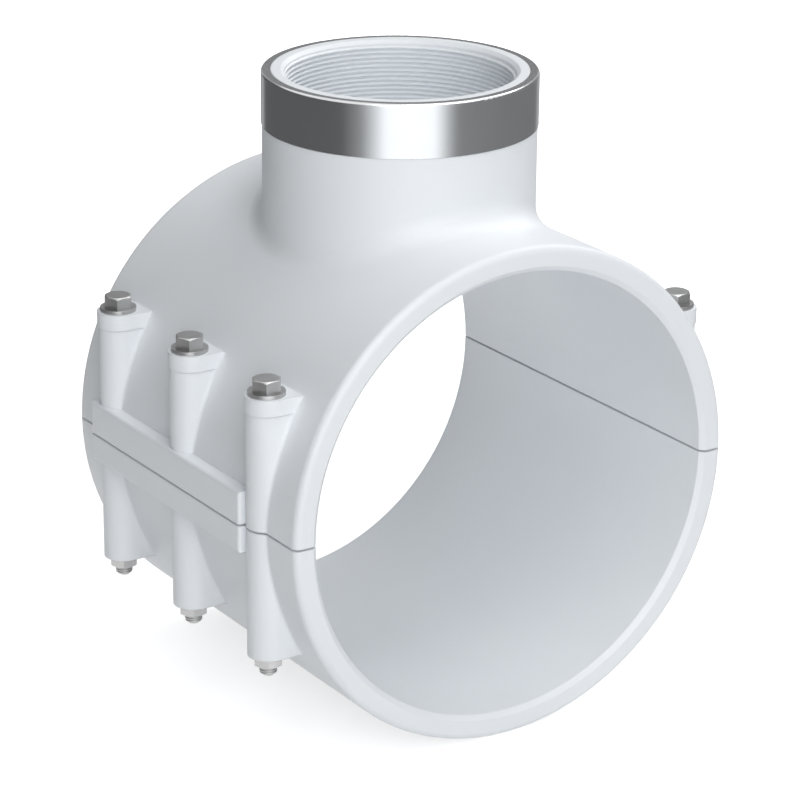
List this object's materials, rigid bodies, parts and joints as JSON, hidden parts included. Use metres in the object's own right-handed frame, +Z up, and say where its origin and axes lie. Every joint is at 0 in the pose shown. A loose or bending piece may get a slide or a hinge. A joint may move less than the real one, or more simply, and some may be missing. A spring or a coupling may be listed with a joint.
{
  "type": "tapping saddle",
  "caption": "Two-part bolted clamp saddle for a large plastic water pipe, with a threaded branch socket on top held in a stainless ring.",
  "frame": {"origin": "on the axis of the pipe bore, under the middle of the branch", "axes": "+Z up along the branch axis, +Y along the pipe axis, +X across the bolts"},
  "size_m": [0.262, 0.21, 0.3136],
  "materials": {
    "moulded_plastic": "white moulded polypropylene, satin with a fine moulded grain",
    "stainless_ring": "drawn stainless sheet, bright with faint lines round it",
    "plated_steel": "zinc plated steel, dull silver",
    "seal_rubber": "black moulded rubber"
  },
  "bodies": {
    "root": {"upper_saddle": "moulded_plastic", "lower_saddle": "moulded_plastic", "reinforcing_ring": "stainless_ring", "branch_seal": "seal_rubber", "bolt_1": "plated_steel", "bolt_2": "plated_steel", "bolt_3": "plated_steel", "bolt_4": "plated_steel", "bolt_5": "plated_steel", "bolt_6": "plated_steel", "washer_1": "plated_steel", "washer_2": "plated_steel", "washer_3": "plated_steel", "washer_4": "plated_steel", "washer_5": "plated_steel", "washer_6": "plated_steel", "nut_1": "plated_steel", "nut_2": "plated_steel", "nut_3": "plated_steel", "nut_4": "plated_steel", "nut_5": "plated_steel", "nut_6": "plated_steel"}
  },
  "joints": []
}
